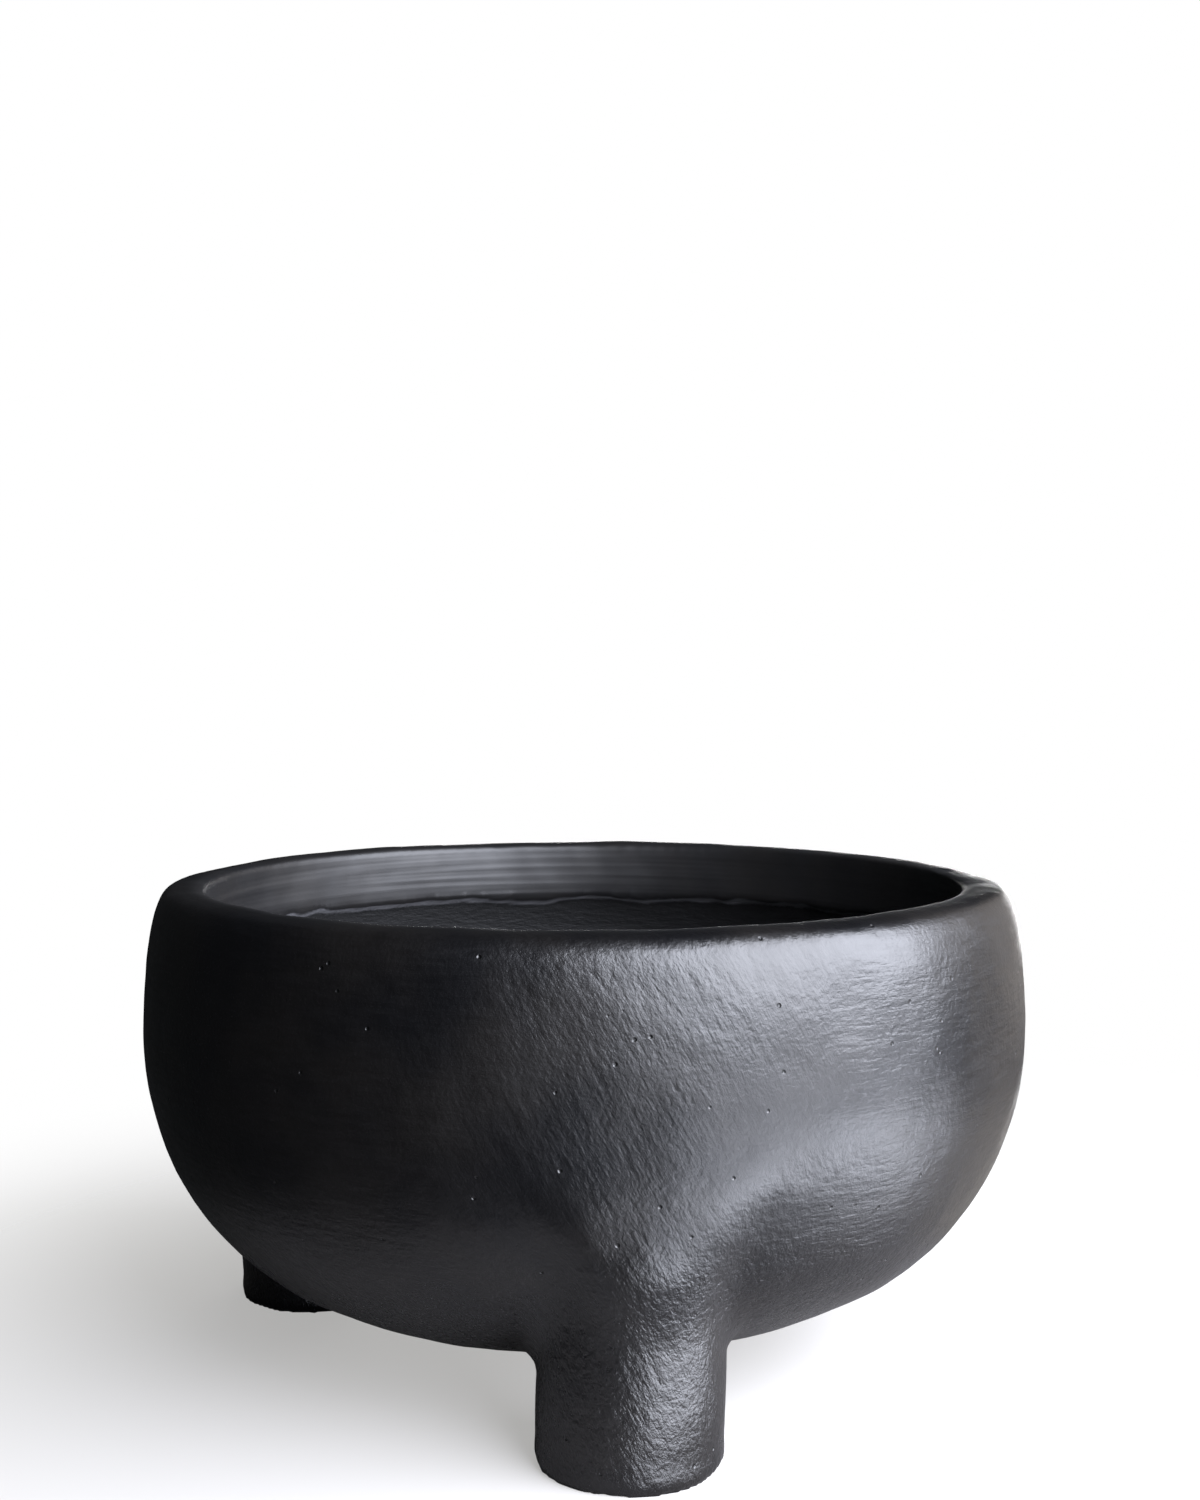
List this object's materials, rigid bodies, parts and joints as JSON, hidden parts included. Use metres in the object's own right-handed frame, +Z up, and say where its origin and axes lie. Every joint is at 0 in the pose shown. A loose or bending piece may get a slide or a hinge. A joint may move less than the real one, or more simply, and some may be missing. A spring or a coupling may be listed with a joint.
{
  "type": "molcajete",
  "caption": "Round hand-built black clay grinding bowl with a slightly closed mouth and a rough inside, standing on short stout legs blended into its belly.",
  "frame": {"origin": "on the floor under the centre of the bowl, midway across its widest ring", "axes": "+Z up along the bowl's axis, -Y towards the front leg, +X towards the rear right leg's side"},
  "size_m": [0.15, 0.15, 0.0795],
  "materials": {
    "burnished_clay": "smoke-fired black earthenware, burnished to a satin sheen with fine pits and rubbing marks",
    "leg_clay": "smoke-fired black earthenware, burnished with vertical rubbing marks",
    "luting_clay": "smoke-fired black earthenware, smoothed by hand"
  },
  "bodies": {
    "root": {"base_bowl": "burnished_clay", "wall_coil": "burnished_clay", "rim_coil": "burnished_clay", "leg_front": "leg_clay", "leg_rear_left": "leg_clay", "leg_rear_right": "leg_clay", "lute_front_leg": "luting_clay", "lute_rear_left_leg": "luting_clay", "lute_rear_right_leg": "luting_clay"}
  },
  "joints": []
}
